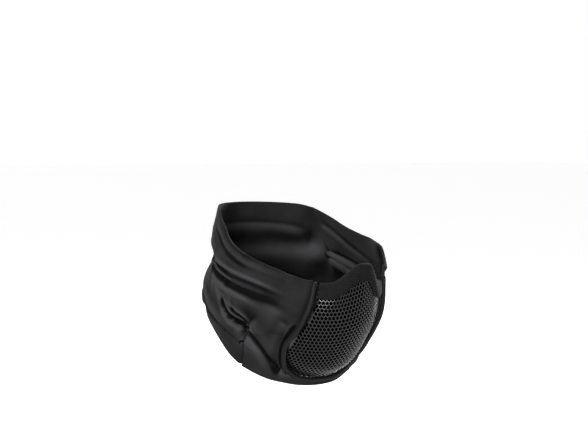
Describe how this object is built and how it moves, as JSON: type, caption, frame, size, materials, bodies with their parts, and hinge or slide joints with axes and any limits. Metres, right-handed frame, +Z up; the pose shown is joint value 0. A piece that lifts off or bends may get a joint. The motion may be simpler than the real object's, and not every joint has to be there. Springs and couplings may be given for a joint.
{
  "type": "half face mask",
  "caption": "Half face mask: a perforated steel snout with a black cloth lining, framed by a rolled welt in the front of a stretch cloth gaiter that goes round the jaw and nape.",
  "frame": {"origin": "on the wearer's head axis, level with the mouth", "axes": "+Z up, -Y the way the wearer looks, +X to the wearer's left"},
  "size_m": [0.157, 0.2001, 0.1652],
  "materials": {
    "stretch_cloth": "charcoal black brushed stretch knit",
    "painted_steel": "semi-gloss black paint on perforated steel",
    "welt_cloth": "black knit tape rolled over a cord",
    "padded_trim": "black felted padding",
    "lining_cloth": "thin matt black lining cloth"
  },
  "bodies": {
    "root": {"cheek_panel_right": "stretch_cloth", "cheek_panel_left": "stretch_cloth", "nape_panel": "stretch_cloth", "throat_panel": "stretch_cloth", "mesh_faceplate": "painted_steel", "mesh_lining": "lining_cloth", "mesh_welt": "welt_cloth", "nose_trim": "padded_trim"}
  },
  "joints": []
}
